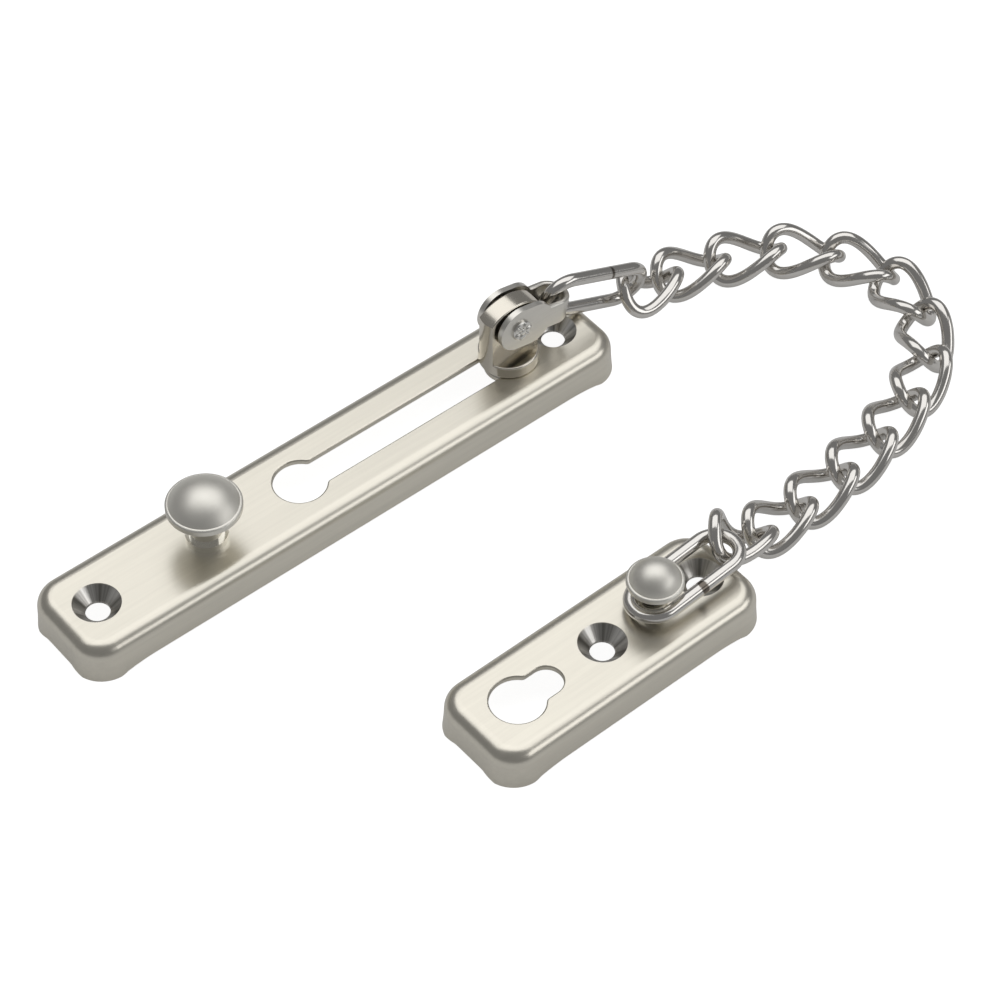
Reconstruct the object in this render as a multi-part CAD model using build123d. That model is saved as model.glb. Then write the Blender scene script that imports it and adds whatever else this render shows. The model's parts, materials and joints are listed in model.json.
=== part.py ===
from build123d import *
import math
import os

# Door chain: a long plate with a keyhole slot, a slider with a clevis, a
# twisted-link chain and a short plate that its end ring hangs on.
# Millimetres. X runs along the long plate and Z is up from the mounting plane.
# Places are measured from midway between the long plate's two screw holes,
# and the whole set is then shifted so that the origin is under its middle.
LAYOUT_MIDDLE = (33.0, -36.42)

# Pressed plates
PLATE_WIDTH = 25.0
PLATE_HEIGHT = 8.9
PLATE_SHEET = 1.2
PLATE_CORNER = 7.0
PLATE_TOP_ROUND = 3.3
PLATE_DRAFT = 3.0
SKIRT_RISE = 1.0
SKIRT_FOOT = 6.5
SKIRT_SLOPE = 10.0
SKIRT_BLEND = 40.0
SKIRT_END_FOOT = 4.8
SKIRT_END_SLOPE = 5.0
SKIRT_END_BLEND = 12.0
FOOT_FLARE = 0.12
FOOT_HEIGHT = 3.2
TRACK_LENGTH = 140.0
KEEPER_LENGTH = 70.0

# Dimpled screw holes, and how far each lies from its plate's end
SCREW_HOLE = 5.2
SCREW_HEAD = 10.2
DIMPLE_DEPTH = 2.7
DIMPLE_LIP = 0.6
DIMPLE_WALL = 0.9
DIMPLE_BLEND = 0.5
DIMPLE_ROOT = 0.3
TRACK_SCREW_MARGIN = 10.05
KEEPER_SCREW_MARGIN = 8.8
TRACK_SCREW_X = TRACK_LENGTH / 2 - TRACK_SCREW_MARGIN
KEEPER_SCREW_X = KEEPER_LENGTH / 2 - KEEPER_SCREW_MARGIN

# Slider's disc, which stops short of the screw's head at the slot's end
SLIDER_DISC = 13.2
SLIDER_DISC_HEIGHT = 3.1
SLIDER_DISC_EDGE = 0.4
SLIDER_TO_SCREW = 0.75
SLOT_END_X = TRACK_SCREW_X - SCREW_HEAD / 2 - SLIDER_TO_SCREW - SLIDER_DISC / 2

# Long plate's stud and keyhole, in order from the far screw hole
SCREW_TO_KNOB = 27.55
KNOB_TO_KEYHOLE = 23.85
TRACK_KNOB_X = SCREW_TO_KNOB - TRACK_SCREW_X
KEYHOLE_X = TRACK_KNOB_X + KNOB_TO_KEYHOLE
KEYHOLE_BORE = 11.6
SLOT_WIDTH = 7.0
KEYHOLE_BLEND = 1.2
OPENING_EDGE = 0.35

# Short plate's keyhole, and the stud between its screw holes
SMALL_KEYHOLE_MARGIN = 12.7
SMALL_KEYHOLE_BORE = 11.6
SMALL_KEYHOLE_REACH = 7.4
SMALL_LOBE_BORE = 7.2
SMALL_KEYHOLE_X = SMALL_KEYHOLE_MARGIN - KEEPER_LENGTH / 2
SMALL_LOBE_X = SMALL_KEYHOLE_X + SMALL_KEYHOLE_REACH
KEEPER_KNOB_SHIFT = 0.7
KEEPER_KNOB_X = KEEPER_SCREW_X / 2 + KEEPER_KNOB_SHIFT

# Slider: neck and flange clear the slot and the keyhole all round
SLIDER_RUN = 0.1
NECK_RUN = 0.2
FLANGE_RUN = 0.4
SLIDER_NECK = SLOT_WIDTH - 2 * NECK_RUN
SLIDER_FLANGE = KEYHOLE_BORE - 2 * FLANGE_RUN
SLIDER_FLANGE_HEIGHT = 1.6
SLIDER_FLANGE_EDGE = 0.3
LUG_THICKNESS = 4.5
LUG_OVER_PIN = 5.2
LUG_TOP_RADIUS = 10.0
LUG_EDGE = 0.4

# Long links of round wire, given by the room inside them
LONG_WIRE = 2.9
LONG_INNER_LENGTH = 24.0
LONG_INNER_WIDTH = 7.1
LONG_LENGTH = LONG_INNER_LENGTH + 2 * LONG_WIRE
LONG_WIDTH = LONG_INNER_WIDTH + 2 * LONG_WIRE

# Clevis: its strap clears the lug, and the coupling link goes round it
PIN_DIAMETER = 3.4
PIN_RUN = 0.05
PIN_FIT = 0.02
PIN_ROOM = 8.9
PIN_Z = PLATE_HEIGHT + PIN_ROOM + LONG_WIRE
STRAP_SHEET = 1.3
STRAP_RUN = 0.6
STRAP_PLAY = 1.3
STRAP_ROOM = 4.6
STRAP_EDGE = 0.5
STRAP_TILT = 11.6
STRAP_WIDTH = LUG_THICKNESS + 2 * (STRAP_RUN + STRAP_SHEET)
STRAP_HEIGHT = LONG_INNER_WIDTH - STRAP_PLAY
STRAP_REACH = SLIDER_DISC / 2 + LONG_WIRE + STRAP_SHEET + STRAP_ROOM
CHEEK_RADIUS = 5.25
CHEEK_RUN = 3.5
RIVET_SPREAD = 1.5
RIVET_HEAD = PIN_DIAMETER + RIVET_SPREAD
RIVET_HEAD_HEIGHT = 0.7

# Studs: cap above the plate, neck, collar, and a staked end under the sheet
STAKE_FIT = 0.02
STAKE_HEAD_HEIGHT = 1.1
STAKE_HEAD_SPREAD = 1.1
STAKE_HEAD_DRAFT = 0.3
CAP_EASE = 0.5
CAP_SHOULDER = 0.6
TRACK_KNOB_CAP = 16.0
TRACK_KNOB_RISE = 9.0
TRACK_KNOB_RIM = 1.6
TRACK_KNOB_CAP_HEIGHT = 5.7
TRACK_KNOB_NECK = 7.5
TRACK_KNOB_COLLAR = 9.1
TRACK_KNOB_COLLAR_HEIGHT = 1.7
TRACK_KNOB_SHANK = 5.6
RING_RUN = 0.55
KEEPER_KNOB_CAP = 11.9
KEEPER_KNOB_RISE = 7.7
KEEPER_KNOB_RIM = 1.3
KEEPER_KNOB_CAP_HEIGHT = 5.3
KEEPER_KNOB_NECK = LONG_INNER_WIDTH - 2 * RING_RUN
KEEPER_KNOB_COLLAR = KEEPER_KNOB_NECK + 0.3
KEEPER_KNOB_COLLAR_HEIGHT = 0.5
KEEPER_KNOB_SHANK = 4.8

# Twisted curb links: half length, half width and rise of the wire's centre
# line leave room for the ends of both neighbours, and each link turns on the
# next at a point a little inside its end
CURB_WIRE = 2.8
CURB_ROOM_ALONG = 8.0
CURB_ROOM_ACROSS = 1.8
CURB_TWIST_PLAY = 0.1
CURB_PLAY = 0.2
CURB_CORNERS = 12
CURB_HALF_LENGTH = (3 * CURB_WIRE + CURB_ROOM_ALONG) / 2
CURB_HALF_WIDTH = (3 * CURB_WIRE + CURB_ROOM_ACROSS) / 2
CURB_RISE = CURB_WIRE + CURB_TWIST_PLAY
CURB_HINGE = CURB_HALF_LENGTH - CURB_WIRE / 2 - CURB_PLAY

# Lie of the coupling link: play in the strap's closed end, then its turns
COUPLING_PLAY = 1.995
COUPLING_SIDE = 0.264
COUPLING_LIFT = 0.996
COUPLING_HEADING = -2.96
COUPLING_PITCH = 21.28
COUPLING_ROLL = 101.2

# Lie of the chain: first turning point inside the coupling link's end, the
# links' headings, and heights of the turning points that are off the floor
FIRST_PLAY = 0.334
FIRST_SIDE = -1.278
FIRST_LIFT = 2.197
CURB_HEADINGS = (11.9, -14.7, -23.7, -46.6, -68, -100.2, -124.4, -152, -163, -170.2, -174.1, -176.5, -178.1)
CHAIN_GAP = 0.02
CHAIN_REST = CURB_RISE + CURB_WIRE / 2 + CHAIN_GAP
SECOND_LIFT = 0.48
TWELFTH_LIFT = 1.61

# Lie of the end ring: over the short plate, held by the last link
RING_HEADING = -177.3
RING_PITCH = 2.6
RING_ROLL = 7.0
RING_GAP = 1.45
RING_Z = PLATE_HEIGHT + LONG_WIRE / 2 + RING_GAP
RING_HOOK = -0.934
RING_SIDE = -1.679
RING_LIFT = 0.871

# Turn of the short plate as it lies beside the long one
KEEPER_HEADING = 1.03


# Frame of a piece that points along its own X: turned, tipped down, rolled
def placed(place, heading=0.0, pitch=0.0, roll=0.0):
    return Pos(Vector(place)) * Rot(0, 0, heading) * Rot(0, pitch, 0) * Rot(roll, 0, 0)


# Solid turned about Z from a closed outline of (radius, height) points
def turned(points):
    outline = Polyline(*[(radius, 0, height) for radius, height in points], close=True)
    return revolve(make_face(outline), axis=Axis.Z)


# Drafted, round-cornered block with a rounded top edge
def plate_block(length, width, height, corner, top_round):
    block = extrude(RectangleRounded(length, width, corner), amount=height, taper=PLATE_DRAFT)
    rim = block.edges().group_by(Axis.Z)[-1]
    return fillet(rim, radius=top_round)


# Long low arch cut into the skirt, which leaves feet at the plate's corners
def skirt_arch(span, foot, slope, blend):
    flat = span / 2 - foot - slope / 2
    low = -SKIRT_RISE
    outline = Polyline((-flat - slope, low), (-flat, -low), (flat, -low), (flat + slope, low), close=True)
    arch = make_face(outline)
    arch = fillet(arch.vertices().group_by(Axis.Y)[-1], radius=blend)
    return extrude(Plane.XZ * arch, amount=TRACK_LENGTH, both=True)


# Flared feet: a low cone under each rounded corner
def corner_feet(length, width, corner):
    top = corner - FOOT_HEIGHT * math.tan(math.radians(PLATE_DRAFT))
    align = (Align.CENTER, Align.CENTER, Align.MIN)
    foot = Cone(corner + FOOT_FLARE, top, FOOT_HEIGHT, align=align)
    x = length / 2 - corner
    y = width / 2 - corner
    return [Pos(side * x, across * y, 0) * foot for side in (-1, 1) for across in (-1, 1)]


# Pressed shell: block less its inside, with arched sides and ends
def plate_shell(length):
    outer = plate_block(length, PLATE_WIDTH, PLATE_HEIGHT, PLATE_CORNER, PLATE_TOP_ROUND)
    inner_length = length - 2 * PLATE_SHEET
    inner_width = PLATE_WIDTH - 2 * PLATE_SHEET
    inner_corner = PLATE_CORNER - PLATE_SHEET
    inner_height = PLATE_HEIGHT - PLATE_SHEET
    inner = plate_block(inner_length, inner_width, inner_height, inner_corner, PLATE_TOP_ROUND - PLATE_SHEET)
    for foot in corner_feet(length, PLATE_WIDTH, PLATE_CORNER):
        outer = outer + foot
    for foot in corner_feet(inner_length, inner_width, inner_corner):
        inner = inner + foot
    shell = outer - inner
    shell = shell - skirt_arch(length, SKIRT_FOOT, SKIRT_SLOPE, SKIRT_BLEND)
    return shell - Rot(0, 0, 90) * skirt_arch(PLATE_WIDTH, SKIRT_END_FOOT, SKIRT_END_SLOPE, SKIRT_END_BLEND)


# Sheet pressed down round a countersunk screw hole
def dimple_metal():
    hole = SCREW_HOLE / 2
    head = SCREW_HEAD / 2
    top = PLATE_HEIGHT
    bottom = top - DIMPLE_DEPTH - DIMPLE_LIP
    underside = top - PLATE_SHEET
    spread = head + DIMPLE_WALL + DIMPLE_BLEND
    return turned([
        (0, bottom),
        (hole + DIMPLE_WALL, bottom),
        (head + DIMPLE_WALL, underside - DIMPLE_ROOT),
        (spread, underside),
        (spread, underside + PLATE_SHEET / 2),
        (0, underside + PLATE_SHEET / 2),
    ])


# Countersink and through hole of a dimple
def dimple_hole():
    hole = SCREW_HOLE / 2
    head = SCREW_HEAD / 2
    top = PLATE_HEIGHT
    return turned([
        (0, 0),
        (hole, 0),
        (hole, top - DIMPLE_DEPTH),
        (head, top),
        (head, top + PLATE_SHEET),
        (0, top + PLATE_SHEET),
    ])


# Plate with a dimpled screw hole at each place along its length
def dimpled(plate, places):
    for place in places:
        plate = plate + Pos(place, 0, 0) * dimple_metal()
    for place in places:
        plate = plate - Pos(place, 0, 0) * dimple_hole()
    return plate


# Keyhole: a round opening that runs into a narrower one
def keyhole(bore_x, bore, lobe_x, lobe):
    opening = Pos(bore_x, 0) * Circle(bore / 2)
    opening = opening + Pos((bore_x + lobe_x) / 2, 0) * Rectangle(lobe_x - bore_x, lobe)
    opening = opening + Pos(lobe_x, 0) * Circle(lobe / 2)
    joint_x = bore_x + math.sqrt(bore ** 2 - lobe ** 2) / 2
    corners = opening.vertices().filter_by(lambda v: abs(v.X - joint_x) < 0.01)
    opening = fillet(corners, radius=min(KEYHOLE_BLEND, (lobe_x - joint_x) / 2))
    return Pos(0, 0, PLATE_HEIGHT / 2) * extrude(opening, amount=PLATE_HEIGHT)


# Round the upper edge of an opening in a plate's top
def eased_opening(plate, x_low, x_high):
    edges = plate.edges().filter_by_position(Axis.Z, PLATE_HEIGHT - 0.01, PLATE_HEIGHT + 0.01)
    edges = edges.filter_by_position(Axis.X, x_low - 1, x_high + 1)
    edges = edges.filter_by(lambda e: abs(e.center().Y) < PLATE_WIDTH / 2 - PLATE_TOP_ROUND - 1)
    return fillet(edges, radius=OPENING_EDGE)


def make_track_plate():
    plate = plate_shell(TRACK_LENGTH)
    plate = plate - keyhole(KEYHOLE_X, KEYHOLE_BORE, SLOT_END_X, SLOT_WIDTH)
    plate = eased_opening(plate, KEYHOLE_X - KEYHOLE_BORE / 2, SLOT_END_X + SLOT_WIDTH / 2)
    plate = plate - Pos(TRACK_KNOB_X, 0, 0) * Cylinder(TRACK_KNOB_SHANK / 2 + STAKE_FIT, 3 * PLATE_HEIGHT)
    return dimpled(plate, (-TRACK_SCREW_X, TRACK_SCREW_X))


# Turned stud with a domed cap, staked under the plate. Rise is the height of
# the cap's underside above the plate, rim the height of the cap's edge.
def stud(cap, rise, rim, cap_height, neck, shank, collar, collar_height):
    seat = PLATE_HEIGHT
    below = PLATE_HEIGHT - PLATE_SHEET
    under = PLATE_HEIGHT + rise
    top = under + cap_height
    edge = cap / 2
    flare = (cap - neck) * 0.18
    throat_top = under - 1.3 * flare
    lines = Polyline(
        (edge, 0, under + rim),
        (edge, 0, under + CAP_EASE),
        (edge - CAP_EASE, 0, under),
        (neck / 2 + flare, 0, under),
    )
    waist = ThreePointArc(
        (neck / 2 + flare, 0, under),
        (neck / 2 + 0.26 * flare, 0, under - 0.42 * flare),
        (neck / 2, 0, throat_top),
    )
    stem = Polyline(
        (neck / 2, 0, throat_top),
        (neck / 2, 0, seat + collar_height),
        (collar / 2, 0, seat + collar_height),
        (collar / 2, 0, seat),
        (shank / 2, 0, seat),
        (shank / 2, 0, below),
        (shank / 2 + STAKE_HEAD_SPREAD, 0, below),
        (shank / 2 + STAKE_HEAD_SPREAD - STAKE_HEAD_DRAFT, 0, below - STAKE_HEAD_HEIGHT),
        (0, 0, below - STAKE_HEAD_HEIGHT),
        (0, 0, top),
    )
    dome_edge = edge - CAP_SHOULDER
    dome_foot = under + rim + 0.58 * CAP_SHOULDER
    drop = top - dome_foot
    dome_radius = (dome_edge ** 2 + drop ** 2) / (2 * drop)
    half_height = top - dome_radius + math.sqrt(dome_radius ** 2 - (dome_edge / 2) ** 2)
    dome = ThreePointArc((0, 0, top), (dome_edge / 2, 0, half_height), (dome_edge, 0, dome_foot))
    shoulder = ThreePointArc(
        (dome_edge, 0, dome_foot),
        (edge - 0.3 * CAP_SHOULDER, 0, under + rim + 0.37 * CAP_SHOULDER),
        (edge, 0, under + rim),
    )
    outline = make_face([*lines.edges(), waist, *stem.edges(), dome, shoulder])
    return revolve(outline, axis=Axis.Z)


def make_track_knob():
    knob = stud(
        TRACK_KNOB_CAP,
        TRACK_KNOB_RISE,
        TRACK_KNOB_RIM,
        TRACK_KNOB_CAP_HEIGHT,
        TRACK_KNOB_NECK,
        TRACK_KNOB_SHANK,
        TRACK_KNOB_COLLAR,
        TRACK_KNOB_COLLAR_HEIGHT,
    )
    return Pos(TRACK_KNOB_X, 0, 0) * knob


# Upright cylinder between two heights
def column(diameter, low, high):
    align = (Align.CENTER, Align.CENTER, Align.MIN)
    return Pos(0, 0, low) * Cylinder(diameter / 2, high - low, align=align)


# Slider cast in one piece: flange under the plate, neck in the slot, disc on
# top, and an upright lug cut from the disc's own cylinder
def make_slider():
    disc_bottom = PLATE_HEIGHT + SLIDER_RUN
    disc_top = disc_bottom + SLIDER_DISC_HEIGHT
    flange_top = PLATE_HEIGHT - PLATE_SHEET - SLIDER_RUN
    flange_bottom = flange_top - SLIDER_FLANGE_HEIGHT
    lug_bottom = (disc_bottom + disc_top) / 2
    lug_top = PIN_Z + LUG_OVER_PIN
    edge = SLIDER_DISC / 2
    disc = column(SLIDER_DISC, disc_bottom, disc_top)
    disc = fillet(disc.edges(), radius=SLIDER_DISC_EDGE)
    shoulder = lug_top - LUG_TOP_RADIUS + math.sqrt(LUG_TOP_RADIUS ** 2 - edge ** 2)
    crown = ThreePointArc((-edge, shoulder), (0, lug_top), (edge, shoulder))
    sides = Polyline((-edge, shoulder), (-edge, lug_bottom), (edge, lug_bottom), (edge, shoulder))
    slab = extrude(Plane.XZ * make_face([crown, *sides.edges()]), amount=LUG_THICKNESS / 2, both=True)
    slab = fillet(slab.edges().filter_by(GeomType.CIRCLE), radius=LUG_EDGE)
    lug = column(SLIDER_DISC, lug_bottom, lug_top) & slab
    neck = column(SLIDER_NECK, flange_bottom, lug_bottom)
    flange = column(SLIDER_FLANGE, flange_bottom, flange_top)
    flange = chamfer(flange.edges(), length=SLIDER_FLANGE_EDGE)
    bore = Pos(0, 0, PIN_Z) * Rot(90, 0, 0) * Cylinder(PIN_DIAMETER / 2 + PIN_RUN, 2 * PLATE_WIDTH)
    slider = disc + lug + neck + flange - bore
    return Pos(SLOT_END_X, 0, 0) * slider


# Place of the pin, from which the strap points down along its own X
def clevis_place():
    return placed((SLOT_END_X, 0, PIN_Z), pitch=STRAP_TILT)


# Bent strap: a U in plan, cut to round cheeks and a narrower closed end
def make_clevis():
    outer_radius = STRAP_WIDTH / 2
    inner_radius = outer_radius - STRAP_SHEET
    bend_x = STRAP_REACH - outer_radius
    start_x = -2 * CHEEK_RADIUS
    run = bend_x - start_x
    middle = Pos((start_x + bend_x) / 2, 0)
    outer = middle * Rectangle(run, STRAP_WIDTH) + Pos(bend_x, 0) * Circle(outer_radius)
    inner = middle * Rectangle(run, 2 * inner_radius) + Pos(bend_x, 0) * Circle(inner_radius)
    band = outer - inner
    narrow = extrude(band, amount=STRAP_HEIGHT / 2, both=True)
    from_left = (Align.MIN, Align.CENTER, Align.CENTER)
    past_cheeks = Box(STRAP_REACH, 2 * STRAP_WIDTH, 2 * STRAP_HEIGHT, align=from_left)
    narrow = narrow & Pos(CHEEK_RUN, 0, 0) * past_cheeks
    rims = narrow.edges().filter_by(lambda e: abs(abs(e.center().Z) - STRAP_HEIGHT / 2) < 0.01)
    rims = rims.filter_by(lambda e: e.center().X > CHEEK_RUN + 0.01)
    narrow = fillet(rims, radius=STRAP_EDGE)
    side = Pos(CHEEK_RUN / 2, 0) * Rectangle(CHEEK_RUN, 2 * CHEEK_RADIUS)
    side = side + Circle(CHEEK_RADIUS) + Pos(CHEEK_RUN, 0) * Circle(CHEEK_RADIUS)
    wide = extrude(band, amount=2 * CHEEK_RADIUS, both=True)
    wide = wide & extrude(Plane.XZ * side, amount=STRAP_WIDTH, both=True)
    clevis = wide + narrow
    clevis = clevis - Rot(90, 0, 0) * Cylinder(PIN_DIAMETER / 2 + PIN_FIT, 3 * STRAP_WIDTH)
    return clevis_place() * clevis


# Rivet through the lug, headed over the outside of both cheeks
def make_clevis_rivet():
    half = STRAP_WIDTH / 2
    shank = column(PIN_DIAMETER, -half, half)
    head = column(RIVET_HEAD, half, half + RIVET_HEAD_HEIGHT)
    head = fillet(head.edges().group_by(Axis.Z)[-1], radius=0.6 * RIVET_HEAD_HEIGHT)
    rivet = shank + head + Rot(180, 0, 0) * head
    return clevis_place() * Rot(90, 0, 0) * rivet


# Round wire swept round a closed path, half of it at a time
def wire_loop(path, diameter):
    edges = path.order_edges()
    half = len(edges) // 2
    pieces = []
    for run in (edges[:half], edges[half:]):
        rail = Wire(run)
        section = Plane(origin=rail @ 0, z_dir=rail % 0) * Circle(diameter / 2)
        pieces.append(sweep(section, path=rail))
    return pieces[0] + pieces[1]


# Long link about its own middle, lying in its own XY plane
def long_link():
    end_radius = (LONG_WIDTH - LONG_WIRE) / 2
    half_run = LONG_LENGTH / 2 - LONG_WIRE / 2 - end_radius
    upper = Line((half_run, end_radius), (-half_run, end_radius))
    left = ThreePointArc((-half_run, end_radius), (-half_run - end_radius, 0), (-half_run, -end_radius))
    lower = Line((-half_run, -end_radius), (half_run, -end_radius))
    right = ThreePointArc((half_run, -end_radius), (half_run + end_radius, 0), (half_run, end_radius))
    return wire_loop(Wire([upper, left, lower, right]), LONG_WIRE)


# Frame at the middle of the coupling link's wire, inside the strap's end
def coupling_near():
    along = STRAP_REACH - STRAP_SHEET - LONG_WIRE / 2 - COUPLING_PLAY
    held = clevis_place() * Pos(along, COUPLING_SIDE, COUPLING_LIFT)
    return placed(held.position, COUPLING_HEADING, COUPLING_PITCH, COUPLING_ROLL)


def make_coupling_link():
    return coupling_near() * Pos((LONG_LENGTH - LONG_WIRE) / 2, 0, 0) * long_link()


# Turn of the end ring, and its stud's place seen from the last turning point
def ring_lay():
    return placed((0, 0, 0), RING_HEADING, RING_PITCH, RING_ROLL)


def ring_reach():
    hook = Pos((LONG_WIRE + CURB_WIRE) / 2 + RING_HOOK, RING_SIDE, RING_LIFT)
    stud_place = Pos(LONG_LENGTH - LONG_WIDTH / 2 - LONG_WIRE / 2, 0, 0)
    return (ring_lay() * stud_place).position - (ring_lay() * hook).position


# The ring's far end is centred on the short plate's stud
def make_end_ring():
    lay = placed(stud_centre() + Vector(0, 0, RING_Z), RING_HEADING, RING_PITCH, RING_ROLL)
    return lay * Pos(-(LONG_LENGTH - LONG_WIDTH) / 2, 0, 0) * long_link()


# Twisted link: its centre line is an oval that rises and falls twice a turn,
# rounded from corners whose middles lie on that curve
def curb_link():
    step = 2 * math.pi / CURB_CORNERS
    stretch = 1 / math.cos(step / 2)
    lift = 1 / math.cos(step)
    corners = []
    for index in range(CURB_CORNERS):
        turn = (index + 0.5) * step
        x = CURB_HALF_LENGTH * stretch * math.cos(turn)
        y = CURB_HALF_WIDTH * stretch * math.sin(turn)
        z = -CURB_RISE * lift * math.sin(2 * turn)
        corners.append(Vector(x, y, z))
    radii = []
    for index in range(CURB_CORNERS):
        before = corners[index] - corners[index - 1]
        after = corners[(index + 1) % CURB_CORNERS] - corners[index]
        bend = math.radians(before.get_angle(after))
        radii.append(0.49 * min(before.length, after.length) / math.tan(bend / 2))
    path = FilletPolyline(*corners, radius=radii, close=True)
    return wire_loop(path.wire(), CURB_WIRE)


# Turning points of the chain, from the coupling link to the end ring: the
# heights are set first, and each link tips to reach the next one
def turning_points():
    inside = Pos(-(LONG_WIRE + CURB_WIRE) / 2 - FIRST_PLAY, FIRST_SIDE, FIRST_LIFT)
    start = (coupling_near() * Pos(LONG_LENGTH - LONG_WIRE, 0, 0) * inside).position
    heights = [CHAIN_REST] * (len(CURB_HEADINGS) + 1)
    heights[0] = start.Z
    heights[1] += SECOND_LIFT
    heights[-2] += TWELFTH_LIFT
    heights[-1] = RING_Z - ring_reach().Z
    points = [start]
    for index, heading in enumerate(CURB_HEADINGS):
        drop = heights[index] - heights[index + 1]
        pitch = math.degrees(math.asin(drop / (2 * CURB_HINGE)))
        step = placed((0, 0, 0), heading, pitch) * Pos(2 * CURB_HINGE, 0, 0)
        points.append(points[-1] + step.position)
    return points


# Frames of the curb links, each midway between two turning points
def chain_frames():
    points = turning_points()
    frames = []
    for start, end, heading in zip(points, points[1:], CURB_HEADINGS):
        pitch = math.degrees(math.asin((start.Z - end.Z) / (2 * CURB_HINGE)))
        frames.append(placed((start + end) / 2, heading, pitch))
    return frames


# Foot of the short plate's stud, straight under the ring's far end
def stud_centre():
    held = turning_points()[-1] + ring_reach()
    return Vector(held.X, held.Y, 0)


def keeper_place():
    return Pos(stud_centre()) * Rot(0, 0, KEEPER_HEADING) * Pos(-KEEPER_KNOB_X, 0, 0)


def make_keeper_plate():
    plate = plate_shell(KEEPER_LENGTH)
    plate = plate - keyhole(SMALL_KEYHOLE_X, SMALL_KEYHOLE_BORE, SMALL_LOBE_X, SMALL_LOBE_BORE)
    left = SMALL_KEYHOLE_X - SMALL_KEYHOLE_BORE / 2
    right = SMALL_LOBE_X + SMALL_LOBE_BORE / 2
    plate = eased_opening(plate, left, right)
    plate = plate - Pos(KEEPER_KNOB_X, 0, 0) * Cylinder(KEEPER_KNOB_SHANK / 2 + STAKE_FIT, 3 * PLATE_HEIGHT)
    plate = dimpled(plate, (0, KEEPER_SCREW_X))
    return keeper_place() * plate


def make_keeper_knob():
    knob = stud(
        KEEPER_KNOB_CAP,
        KEEPER_KNOB_RISE,
        KEEPER_KNOB_RIM,
        KEEPER_KNOB_CAP_HEIGHT,
        KEEPER_KNOB_NECK,
        KEEPER_KNOB_SHANK,
        KEEPER_KNOB_COLLAR,
        KEEPER_KNOB_COLLAR_HEIGHT,
    )
    return keeper_place() * Pos(KEEPER_KNOB_X, 0, 0) * knob


os.makedirs("parts", exist_ok=True)
pieces = {
    "track_plate": make_track_plate(),
    "track_knob": make_track_knob(),
    "slider": make_slider(),
    "clevis": make_clevis(),
    "clevis_rivet": make_clevis_rivet(),
    "coupling_link": make_coupling_link(),
    "end_ring": make_end_ring(),
    "keeper_plate": make_keeper_plate(),
    "keeper_knob": make_keeper_knob(),
}
curb = curb_link()
for number, frame in enumerate(chain_frames(), start=1):
    pieces[f"curb_link_{number:02d}"] = frame * curb
to_middle = Pos(-LAYOUT_MIDDLE[0], -LAYOUT_MIDDLE[1], 0)
for name, piece in pieces.items():
    solids = (to_middle * piece).solids()
    print(name, len(solids), round(piece.volume, 1), all(solid.is_valid for solid in solids))
    export_step(solids[0], f"parts/{name}.step")
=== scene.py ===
import bpy
import bmesh
import json
import math
from mathutils import Euler, Matrix, Quaternion, Vector


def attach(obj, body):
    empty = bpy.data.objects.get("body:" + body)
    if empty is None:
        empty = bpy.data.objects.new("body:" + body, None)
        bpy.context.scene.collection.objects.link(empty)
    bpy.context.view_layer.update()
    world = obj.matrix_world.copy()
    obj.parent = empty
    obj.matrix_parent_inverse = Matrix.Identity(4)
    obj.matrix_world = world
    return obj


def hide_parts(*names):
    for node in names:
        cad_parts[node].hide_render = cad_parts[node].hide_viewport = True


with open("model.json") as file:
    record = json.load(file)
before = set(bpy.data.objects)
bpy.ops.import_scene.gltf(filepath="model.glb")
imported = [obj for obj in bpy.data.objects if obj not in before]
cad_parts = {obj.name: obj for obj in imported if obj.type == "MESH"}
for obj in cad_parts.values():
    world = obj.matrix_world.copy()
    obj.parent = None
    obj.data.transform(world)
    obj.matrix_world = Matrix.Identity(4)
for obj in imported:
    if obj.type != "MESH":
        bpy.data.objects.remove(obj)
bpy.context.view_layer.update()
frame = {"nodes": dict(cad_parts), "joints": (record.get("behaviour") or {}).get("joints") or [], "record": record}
nodes = frame["nodes"]


# Long plate: pressed from thin sheet, with its sides drawn down to the door
# and two dimples for countersunk screws. It is satin-brushed along its
# length, and the screws' cones are painted darker, with bright and dark
# sectors of painted reflection and shade.

# Adds a node to a material or an effect: its settings, then its sockets
def add_node(tree, kind, values=None, **settings):
    node = tree.nodes.new(kind)
    for setting, value in settings.items():
        setattr(node, setting, value)
    for socket, value in (values or {}).items():
        node.inputs[socket].default_value = value
    return node


# Joins each pair of an output and an input
def join(tree, *pairs):
    for source, target in pairs:
        tree.links.new(source, target)


# An effect that several metals share, with its input and output nodes
def new_effect(name, takes, gives):
    effect = bpy.data.node_groups.new(name, "ShaderNodeTree")
    for socket, kind in takes.items():
        effect.interface.new_socket(socket, in_out="INPUT", socket_type=kind)
    for socket in gives:
        effect.interface.new_socket(
            socket, in_out="OUTPUT", socket_type="NodeSocketFloat"
        )
    takes_in = add_node(effect, "NodeGroupInput")
    gives_out = add_node(effect, "NodeGroupOutput")
    return effect, takes_in, gives_out


brushed_grain, grain_in, grain_out = new_effect(
    "brushed_grain",
    {"Vector": "NodeSocketVector", "Fineness": "NodeSocketFloat"},
    ["Height", "Cloud"],
)
streaks = add_node(
    brushed_grain, "ShaderNodeTexNoise", {"Detail": 3.0, "Roughness": 0.6}
)
cloud = add_node(brushed_grain, "ShaderNodeTexNoise", {"Detail": 2.0, "Scale": 60.0})
join(
    brushed_grain,
    (grain_in.outputs["Vector"], streaks.inputs["Vector"]),
    (grain_in.outputs["Fineness"], streaks.inputs["Scale"]),
    (grain_in.outputs["Vector"], cloud.inputs["Vector"]),
    (streaks.outputs["Fac"], grain_out.inputs["Height"]),
    (cloud.outputs["Fac"], grain_out.inputs["Cloud"]),
)
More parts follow.
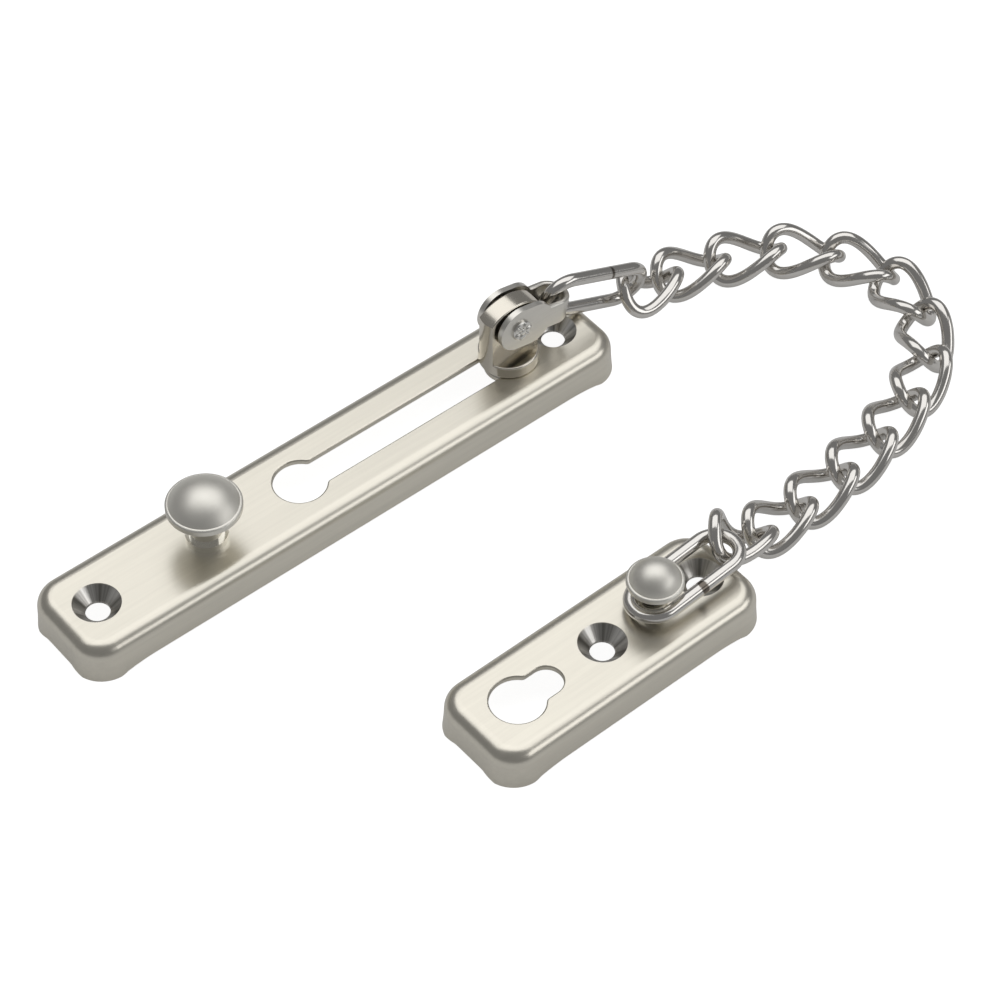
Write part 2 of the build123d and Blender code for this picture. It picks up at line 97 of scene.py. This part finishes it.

# Conical seat round a screw hole: a mask of the cone, and the sectors of
# painted reflection and shade on it, which run out from the hole
seat_rim = 0.0052
seat_rim_inside = 0.0049
screw_seat, seat_in, seat_out = new_effect(
    "screw_seat",
    {"Vector": "NodeSocketVector", "Hole": "NodeSocketVector"},
    ["Mask", "Sector"],
)
from_hole = add_node(screw_seat, "ShaderNodeVectorMath", operation="SUBTRACT")
flattened = add_node(
    screw_seat, "ShaderNodeVectorMath", {1: (1.0, 1.0, 0.0)}, operation="MULTIPLY"
)
reach = add_node(screw_seat, "ShaderNodeVectorMath", operation="LENGTH")
inside = add_node(
    screw_seat, "ShaderNodeMapRange", {"From Min": seat_rim, "From Max": seat_rim_inside}
)
direction = add_node(screw_seat, "ShaderNodeVectorMath", operation="NORMALIZE")
sectors = add_node(
    screw_seat, "ShaderNodeTexNoise", {"Scale": 1.7, "Detail": 3.0, "Roughness": 0.6}
)
contrast = add_node(
    screw_seat, "ShaderNodeMapRange", {"From Min": 0.36, "From Max": 0.66}
)
join(
    screw_seat,
    (seat_in.outputs["Vector"], from_hole.inputs[0]),
    (seat_in.outputs["Hole"], from_hole.inputs[1]),
    (from_hole.outputs[0], flattened.inputs[0]),
    (flattened.outputs[0], reach.inputs[0]),
    (reach.outputs["Value"], inside.inputs["Value"]),
    (flattened.outputs[0], direction.inputs[0]),
    (direction.outputs[0], sectors.inputs["Vector"]),
    (sectors.outputs["Fac"], contrast.inputs["Value"]),
    (inside.outputs["Result"], seat_out.inputs["Mask"]),
    (contrast.outputs["Result"], seat_out.inputs["Sector"]),
)


# A bare metal, with its node tree and its shader
def new_metal(name):
    metal = bpy.data.materials.new(name)
    metal.use_nodes = True
    shader = metal.node_tree.nodes["Principled BSDF"]
    shader.inputs["Metallic"].default_value = 1.0
    return metal, metal.node_tree, shader


# Fine relief on a metal, from a height
def add_relief(tree, shader, height, share, depth):
    relief = add_node(tree, "ShaderNodeBump", {"Strength": share, "Distance": depth})
    join(
        tree,
        (height, relief.inputs["Height"]),
        (relief.outputs["Normal"], shader.inputs["Normal"]),
    )


# Satin steel with its brushing along one direction of the piece, and
# seats round its screw holes painted darker, with sectors of painted
# reflection and shade
def brushed_steel(name, color, roughness, turn, stretch, relief_share, holes):
    steel, tree, shader = new_metal(name)
    gloss_spread = 0.05
    groove_depth = 0.00003
    # Painted shade and painted highlight for the seats' sectors of reflection
    seat_shade_color = (0.24, 0.23, 0.21, 1.0)
    seat_highlight_color = (0.95, 0.93, 0.89, 1.0)
    grooves = [part * 0.91 for part in color] + [1.0]
    ridges = [part * 1.07 for part in color] + [1.0]
    where = add_node(tree, "ShaderNodeTexCoord")
    brushing = add_node(
        tree, "ShaderNodeMapping", {"Rotation": turn, "Scale": stretch}
    )
    grain = add_node(
        tree, "ShaderNodeGroup", {"Fineness": 900.0}, node_tree=brushed_grain
    )
    gloss = add_node(
        tree,
        "ShaderNodeMapRange",
        {"To Min": roughness - gloss_spread, "To Max": roughness + gloss_spread},
    )
    shade = add_node(
        tree, "ShaderNodeMix", {"A": grooves, "B": ridges}, data_type="RGBA"
    )
    join(
        tree,
        (where.outputs["Object"], brushing.inputs["Vector"]),
        (brushing.outputs["Vector"], grain.inputs["Vector"]),
        (grain.outputs["Cloud"], gloss.inputs["Value"]),
        (gloss.outputs["Result"], shader.inputs["Roughness"]),
        (grain.outputs["Height"], shade.inputs["Factor"]),
    )
    tone = shade.outputs["Result"]
    for hole in holes:
        seat = add_node(tree, "ShaderNodeGroup", {"Hole": hole}, node_tree=screw_seat)
        # The seat's cone gets painted shade and painted highlight in sectors
        seat_painted_light = add_node(
            tree,
            "ShaderNodeMix",
            {"A": seat_shade_color, "B": seat_highlight_color},
            data_type="RGBA",
        )
        seated = add_node(tree, "ShaderNodeMix", data_type="RGBA")
        join(
            tree,
            (where.outputs["Object"], seat.inputs["Vector"]),
            (seat.outputs["Sector"], seat_painted_light.inputs["Factor"]),
            (seat.outputs["Mask"], seated.inputs["Factor"]),
            (tone, seated.inputs["A"]),
            (seat_painted_light.outputs["Result"], seated.inputs["B"]),
        )
        tone = seated.outputs["Result"]
    join(tree, (tone, shader.inputs["Base Color"]))
    add_relief(tree, shader, grain.outputs["Height"], relief_share, groove_depth)
    return steel


# Gives a solid its metal, with smooth rounds and sharp real edges
def finish_solid(node, metal):
    solid = nodes[node]
    solid.data.materials.clear()
    solid.data.materials.append(metal)
    solid.data.shade_smooth()
    edges = solid.modifiers.new("edges", "EDGE_SPLIT")
    edges.split_angle = math.radians(35)


mounts = {mount["name"]: mount for mount in frame["record"]["mounts"]}
long_screws = mounts["track_screws"]
middle_of_screws = Vector(long_screws["pos_m"])
half_spacing = long_screws["dims"]["spacing_x_mm"] / 2 / 1000
to_screw = Vector((half_spacing, 0.0, 0.0))
plate_look = {
    "color": (0.78, 0.745, 0.655),
    "roughness": 0.3,
    "stretch": (0.04, 1.0, 1.0),
    "relief_share": 0.3,
}
plate_steel = brushed_steel(
    "plate_steel",
    turn=(0, 0, 0),
    holes=[middle_of_screws - to_screw, middle_of_screws + to_screw],
    **plate_look,
)
finish_solid("track_plate", plate_steel)

# Long plate's stud: turned from bar, with a satin cap and a bright neck. Its
# shank is held in the sheet, and a low collar seats it.
metal_wear, wear_in, wear_out = new_effect(
    "metal_wear",
    {
        "Vector": "NodeSocketVector",
        "Fineness": "NodeSocketFloat",
        "Smoothest": "NodeSocketFloat",
        "Roughest": "NodeSocketFloat",
    },
    ["Roughness", "Height"],
)
wear = add_node(metal_wear, "ShaderNodeTexNoise", {"Detail": 4.0})
wear_gloss = add_node(metal_wear, "ShaderNodeMapRange")
join(
    metal_wear,
    (wear_in.outputs["Vector"], wear.inputs["Vector"]),
    (wear_in.outputs["Fineness"], wear.inputs["Scale"]),
    (wear.outputs["Fac"], wear_gloss.inputs["Value"]),
    (wear_in.outputs["Smoothest"], wear_gloss.inputs["To Min"]),
    (wear_in.outputs["Roughest"], wear_gloss.inputs["To Max"]),
    (wear_gloss.outputs["Result"], wear_out.inputs["Roughness"]),
    (wear.outputs["Fac"], wear_out.inputs["Height"]),
)


# Metal with faint cloudy wear in its gloss
def polished_metal(name, color, roughness, fineness, relief_share):
    metal, tree, shader = new_metal(name)
    gloss_spread = 0.05
    wear_depth = 0.00005
    shader.inputs["Base Color"].default_value = (*color, 1.0)
    where = add_node(tree, "ShaderNodeTexCoord")
    clouds = add_node(
        tree,
        "ShaderNodeGroup",
        {
            "Fineness": fineness,
            "Smoothest": roughness - gloss_spread,
            "Roughest": roughness + gloss_spread,
        },
        node_tree=metal_wear,
        name="clouds",
    )
    join(
        tree,
        (where.outputs["Object"], clouds.inputs["Vector"]),
        (clouds.outputs["Roughness"], shader.inputs["Roughness"]),
    )
    add_relief(tree, shader, clouds.outputs["Height"], relief_share, wear_depth)
    return metal


neck_top = 0.0160
cap_start = 0.0168
neck_roughness = 0.13
stud_steel = polished_metal(
    "stud_steel", (0.86, 0.84, 0.78), roughness=0.47, fineness=400.0, relief_share=0.02
)
tree = stud_steel.node_tree
where = add_node(tree, "ShaderNodeTexCoord")
heights = add_node(tree, "ShaderNodeSeparateXYZ")
above_neck = add_node(
    tree, "ShaderNodeMapRange", {"From Min": neck_top, "From Max": cap_start}
)
satin_cap = add_node(tree, "ShaderNodeMix", {"A": neck_roughness})
join(
    tree,
    (where.outputs["Object"], heights.inputs["Vector"]),
    (heights.outputs["Z"], above_neck.inputs["Value"]),
    (above_neck.outputs["Result"], satin_cap.inputs["Factor"]),
    (tree.nodes["clouds"].outputs["Roughness"], satin_cap.inputs["B"]),
    (satin_cap.outputs["Result"], tree.nodes["Principled BSDF"].inputs["Roughness"]),
)
finish_solid("track_knob", stud_steel)

# Slider: a polished casting. Its disc rides on the plate, its neck and lower
# flange run in the slot, and its lug carries the clevis.
slider_steel = polished_metal(
    "slider_steel", (0.72, 0.68, 0.60), roughness=0.17, fineness=300.0, relief_share=0.05
)
finish_solid("slider", slider_steel)

# Clevis: a strip of satin steel bent round the lug, with a bright headed
# rivet through its two cheeks. A six-pointed punch has closed the near end.
strap_steel = brushed_steel(
    "strap_steel",
    color=(0.78, 0.76, 0.71),
    roughness=0.28,
    turn=(0, math.radians(-11.6), 0),
    stretch=(0.06, 1.0, 1.0),
    relief_share=0.15,
    holes=[],
)
finish_solid("clevis", strap_steel)
rivet_steel = polished_metal(
    "rivet_steel", (0.76, 0.75, 0.72), roughness=0.12, fineness=900.0, relief_share=0.05
)
finish_solid("clevis_rivet", rivet_steel)

turning_points = {
    joint["child"]: Vector(joint["pos_m"])
    for joint in frame["joints"]
    if "pos_m" in joint
}
half_rivet = 0.00485
near_end = turning_points["clevis"] - Vector((0.0, half_rivet, 0.0))
star_points = 6
star_turn = 12
point_reach = 0.00145
point_width_share = 0.5
mark_radius = 0.00085
mark_depth_share = 0.5
punch_marks = bmesh.new()
for mark in range(star_points + 1):
    turn = math.radians(360 / star_points * mark + star_turn)
    reach = point_reach if mark else 0.0
    width_share = point_width_share if mark else 1.0
    centre = near_end + reach * Vector((math.cos(turn), 0.0, math.sin(turn)))
    place = (
        Matrix.Translation(centre)
        @ Matrix.Rotation(-turn, 4, "Y")
        @ Matrix.Diagonal((1.0, mark_depth_share, width_share, 1.0))
    )
    bmesh.ops.create_uvsphere(
        punch_marks, u_segments=20, v_segments=12, radius=mark_radius, matrix=place
    )
punched_end = bpy.data.meshes.new("punched_rivet_end")
punch_marks.to_mesh(punched_end)
punch_marks.free()
punched_end.shade_smooth()
punched_end.materials.append(rivet_steel)
rivet_end = bpy.data.objects.new("punched_rivet_end", punched_end)
bpy.context.scene.collection.objects.link(rivet_end)
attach(rivet_end, "clevis")

# Coupling link: bright drawn wire bent into a long loop and butt-welded on
# one straight side. Draw lines run along the wire, and the weld shows as a
# dark ragged line.
chain_steel, tree, shader = new_metal("chain_steel")
bright_wire = (0.70, 0.68, 0.65, 1.0)
scorched = (0.16, 0.14, 0.12, 1.0)
weld_dark = 0.00012
weld_clear = 0.0004
weld_raggedness = 0.0012
weld_centring = 0.00062
on_wire = add_node(tree, "ShaderNodeAttribute", attribute_name="wire_place")
draw_lines = add_node(tree, "ShaderNodeMapping", {"Scale": (1.0, 1.0, 0.06)})
lines = add_node(
    tree,
    "ShaderNodeGroup",
    {"Fineness": 900.0, "Smoothest": 0.08, "Roughest": 0.22},
    node_tree=metal_wear,
)
on_weld = add_node(tree, "ShaderNodeSeparateXYZ")
scorch = add_node(tree, "ShaderNodeTexNoise", {"Scale": 700.0})
ragged = add_node(
    tree, "ShaderNodeMath", {1: -weld_raggedness}, operation="MULTIPLY_ADD"
)
centred = add_node(tree, "ShaderNodeMath", {1: weld_centring}, operation="ADD")
weld = add_node(
    tree, "ShaderNodeMapRange", {"From Min": weld_dark, "From Max": weld_clear}
)
weld_color = add_node(
    tree, "ShaderNodeMix", {"A": scorched, "B": bright_wire}, data_type="RGBA"
)
join(
    tree,
    (on_wire.outputs["Vector"], draw_lines.inputs["Vector"]),
    (draw_lines.outputs["Vector"], lines.inputs["Vector"]),
    (lines.outputs["Roughness"], shader.inputs["Roughness"]),
    (on_wire.outputs["Vector"], on_weld.inputs["Vector"]),
    (on_wire.outputs["Vector"], scorch.inputs["Vector"]),
    (scorch.outputs["Fac"], ragged.inputs[0]),
    (on_weld.outputs["Z"], ragged.inputs[2]),
    (ragged.outputs[0], centred.inputs[0]),
    (centred.outputs[0], weld.inputs["Value"]),
    (weld.outputs["Result"], weld_color.inputs["Factor"]),
    (weld_color.outputs["Result"], shader.inputs["Base Color"]),
)
add_relief(tree, shader, lines.outputs["Height"], share=0.22, depth=0.00006)


# Round wire swept along a closed line, from its weld round to its weld. Each
# vertex keeps its place in the round section, and how far along the wire it
# is from the weld. A positive weld_hidden leaves the weld out, and a negative
# one makes it wider.
def wire_loop(name, points, radius, place, body, node, weld_hidden):
    section_sides = 24
    side_weight = 1.2
    mesh = bmesh.new()
    on_section = mesh.verts.layers.float_vector.new("wire_place")
    count = len(points)
    sections = []
    runs = [0.0]
    for index, point in enumerate(points):
        ahead = points[(index + 1) % count]
        along = (ahead - points[index - 1]).normalized()
        outward = Vector((point.x, point.y * side_weight, 0.0))
        outward = (outward - along * outward.dot(along)).normalized()
        across = along.cross(outward)
        turned = Matrix((outward, across, along)).transposed().to_4x4()
        sections.append(place @ Matrix.Translation(point) @ turned)
        runs.append(runs[-1] + (ahead - point).length)
    made = bmesh.ops.create_circle(mesh, segments=section_sides, radius=radius)
    for vertex in made["verts"]:
        vertex[on_section] = vertex.co + Vector((0.0, 0.0, weld_hidden))
    bmesh.ops.transform(mesh, matrix=sections[0], verts=made["verts"])
    first = mesh.edges[:]
    last = first
    for index in range(1, count):
        made = bmesh.ops.extrude_edge_only(mesh, edges=last)["geom"]
        ring = [part for part in made if isinstance(part, bmesh.types.BMVert)]
        step = sections[index] @ sections[index - 1].inverted()
        bmesh.ops.transform(mesh, matrix=step, verts=ring)
        from_weld = min(runs[index], runs[count] - runs[index])
        for vertex in ring:
            vertex[on_section].z = from_weld + weld_hidden
        kept = set(ring)
        edges = [part for part in made if isinstance(part, bmesh.types.BMEdge)]
        last = [edge for edge in edges if set(edge.verts) <= kept]
    bmesh.ops.bridge_loops(mesh, edges=first + last)
    bmesh.ops.recalc_face_normals(mesh, faces=mesh.faces)
    data = bpy.data.meshes.new(name)
    mesh.to_mesh(data)
    mesh.free()
    data.shade_smooth()
    data.materials.append(chain_steel)
    wire = bpy.data.objects.new(name, data)
    bpy.context.scene.collection.objects.link(wire)
    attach(wire, body)
    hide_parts(node)


# Centre line of a long link, in two like halves of a straight side and a
# bend, with the weld a number of points round it
def long_link_line(weld_shift):
    half_straight = 0.00845
    bend = 0.005
    side_points = 24
    bend_points = 28
    line = []
    for half in (1, -1):
        for index in range(side_points):
            x = half_straight * (2 * index / side_points - 1)
            line.append(Vector((x, -bend, 0.0)) * half)
        for index in range(bend_points):
            turn = math.pi * (index / bend_points - 0.5)
            x = half_straight + bend * math.cos(turn)
            line.append(Vector((x, bend * math.sin(turn), 0.0)) * half)
    return line[weld_shift:] + line[:weld_shift]


# Place of a link, from its middle and its turns about the three axes
def link_place(middle, *degrees):
    turns = Euler([math.radians(angle) for angle in degrees], "XYZ")
    return Matrix.Translation(middle) @ turns.to_matrix().to_4x4()


long_wire_radius = 0.00145
coupling_place = link_place((0.037655, 0.036038, 0.014652), 101.2, 21.28, -2.96)
wire_loop(
    "coupling_wire",
    long_link_line(weld_shift=61),
    long_wire_radius,
    coupling_place,
    "coupling",
    "coupling_link",
    weld_hidden=0.0,
)

# Chain: thirteen twisted curb links of drawn wire. Each is an oval loop that
# rises and falls twice a turn, so that the links lie flat in one another.
# They hang between their turning points in the frame.
curb_wire_radius = 0.0014
curb_half_length = 0.0082
curb_half_width = 0.0051
curb_rise = 0.0029
curb_points = 96
curb_line = []
for index in range(curb_points):
    turn = 2 * math.pi * (index / curb_points + 0.25)
    x = curb_half_length * math.cos(turn)
    y = curb_half_width * math.sin(turn)
    curb_line.append(Vector((x, y, -curb_rise * math.sin(2 * turn))))
for number in range(1, 14):
    start = turning_points[f"link_{number:02d}"]
    following = "end_ring" if number == 13 else f"link_{number + 1:02d}"
    end = turning_points[following]
    along = (end - start).normalized()
    left = Vector((0, 0, 1)).cross(along).normalized()
    up = along.cross(left)
    turned = Matrix((along, left, up)).transposed().to_4x4()
    wire_loop(
        f"curb_wire_{number:02d}",
        curb_line,
        curb_wire_radius,
        Matrix.Translation((start + end) / 2) @ turned,
        f"link_{number:02d}",
        f"curb_link_{number:02d}",
        weld_hidden=0.002,
    )

# End ring: the same long loop of wire. It lies flat on the short plate's
# stud, with its weld beside the last chain link.
ring_place = link_place((0.001899, -0.035274, 0.012184), 7.0, 2.6, -177.3)
wire_loop(
    "ring_wire",
    long_link_line(weld_shift=64),
    long_wire_radius,
    ring_place,
    "end_ring",
    "end_ring",
    weld_hidden=-0.0005,
)

# Short plate and its stud: pressed and turned as the long ones are, with a
# small keyhole at its far end. It lies a little askew to the long plate.
short_steel = brushed_steel(
    "short_steel",
    turn=(0, 0, math.radians(-1.03)),
    holes=[mounts[f"keeper_screw_{screw}"]["pos_m"] for screw in ("middle", "end")],
    **plate_look,
)
finish_solid("keeper_plate", short_steel)
finish_solid("keeper_knob", stud_steel)

# Floor: plain and pale. It is white to the camera, with a share of that white
# shown to the metal, and a plain mid grey for the light that it sends back.
floor_half_width = 3.0
floor_white = 0.92
floor_share_for_metal = 0.24
floor_mesh = bpy.data.meshes.new("floor")
floor_grid = bmesh.new()
bmesh.ops.create_grid(floor_grid, x_segments=1, y_segments=1, size=floor_half_width)
floor_grid.to_mesh(floor_mesh)
floor_grid.free()
floor = bpy.data.objects.new("floor", floor_mesh)
bpy.context.scene.collection.objects.link(floor)
floor_paint = bpy.data.materials.new("floor_paint")
floor_paint.use_nodes = True
tree = floor_paint.node_tree
tree.nodes.clear()
out = add_node(tree, "ShaderNodeOutputMaterial")
matte = add_node(tree, "ShaderNodeBsdfDiffuse", {"Color": (0.5, 0.5, 0.5, 1)})
glow = add_node(tree, "ShaderNodeEmission", {"Color": (1, 1, 1, 1)})
path = add_node(tree, "ShaderNodeLightPath")
to_camera = add_node(tree, "ShaderNodeMath", {1: floor_white}, operation="MULTIPLY")
seen = add_node(
    tree, "ShaderNodeMath", {1: floor_share_for_metal}, operation="MULTIPLY_ADD"
)
both = add_node(tree, "ShaderNodeAddShader")
join(
    tree,
    (path.outputs["Is Camera Ray"], to_camera.inputs[0]),
    (path.outputs["Is Glossy Ray"], seen.inputs[0]),
    (to_camera.outputs[0], seen.inputs[2]),
    (seen.outputs[0], glow.inputs["Strength"]),
    (matte.outputs[0], both.inputs[0]),
    (glow.outputs[0], both.inputs[1]),
    (both.outputs[0], out.inputs["Surface"]),
)
floor_mesh.materials.append(floor_paint)

# World: white to the camera, with a share of it shown to the metal, and an
# even dim studio to everything else.
world_share_for_metal = 0.1
world = bpy.data.worlds.new("studio")
bpy.context.scene.world = world
world.use_nodes = True
tree = world.node_tree
tree.nodes.clear()
out = add_node(tree, "ShaderNodeOutputWorld")
white = add_node(tree, "ShaderNodeBackground", {"Color": (1, 1, 1, 1)})
dim = add_node(tree, "ShaderNodeBackground", {"Color": (0.12, 0.12, 0.12, 1)})
path = add_node(tree, "ShaderNodeLightPath")
share = add_node(
    tree, "ShaderNodeMath", {1: world_share_for_metal}, operation="MULTIPLY_ADD"
)
pick = add_node(tree, "ShaderNodeMixShader")
join(
    tree,
    (path.outputs["Is Glossy Ray"], share.inputs[0]),
    (path.outputs["Is Camera Ray"], share.inputs[2]),
    (share.outputs[0], pick.inputs["Fac"]),
    (dim.outputs[0], pick.inputs[1]),
    (white.outputs[0], pick.inputs[2]),
    (pick.outputs[0], out.inputs["Surface"]),
)


# Lamps: a wide soft box overhead, which the plates' tops mirror, and a low
# one at the front right, which brightens their rolled edges.
def soft_box(name, place, aim, width, height, power, turn):
    data = bpy.data.lights.new(name, "AREA")
    data.shape = "RECTANGLE"
    data.size = width
    data.size_y = height
    data.energy = power
    lamp = bpy.data.objects.new(name, data)
    lamp.location = place
    lamp.rotation_mode = "QUATERNION"
    facing = (Vector(aim) - Vector(place)).to_track_quat("-Z", "Y")
    lamp.rotation_quaternion = facing @ Quaternion((0, 0, 1), math.radians(turn))
    bpy.context.scene.collection.objects.link(lamp)


soft_box(
    "overhead",
    place=(0.24, 0.295, 0.8),
    aim=(0.24, 0.295, 0.0),
    width=1.0,
    height=1.3,
    power=4.25,
    turn=51.0,
)
soft_box(
    "front_right",
    place=(0.46, -0.66, 0.46),
    aim=(0.0, 0.0, 0.0),
    width=0.8,
    height=0.34,
    power=1.15,
    turn=0.0,
)

# Camera: at the photograph's place and angle, and with its angle of view, as
# the outlines of both plates gave them. Its width and focal length are in
# the photograph's pixels.
photo_width = 1002
focal_length = 3440
camera_distance = 0.7242
target = Vector((-0.00774, 0.01169, 0.0))
azimuth = math.radians(-39.18)
elevation = math.radians(49.4)
back = Vector((
    math.sin(azimuth) * math.cos(elevation),
    -math.cos(azimuth) * math.cos(elevation),
    math.sin(elevation),
))
lens = bpy.data.cameras.new("camera")
lens.sensor_width = 36.0
lens.lens = focal_length / photo_width * lens.sensor_width
lens.clip_start = 0.01
camera = bpy.data.objects.new("camera", lens)
camera.location = target + back * camera_distance
camera.rotation_mode = "QUATERNION"
camera.rotation_quaternion = (-back).to_track_quat("-Z", "Y")
bpy.context.scene.collection.objects.link(camera)
bpy.context.scene.camera = camera
bpy.context.scene.view_settings.view_transform = "Standard"
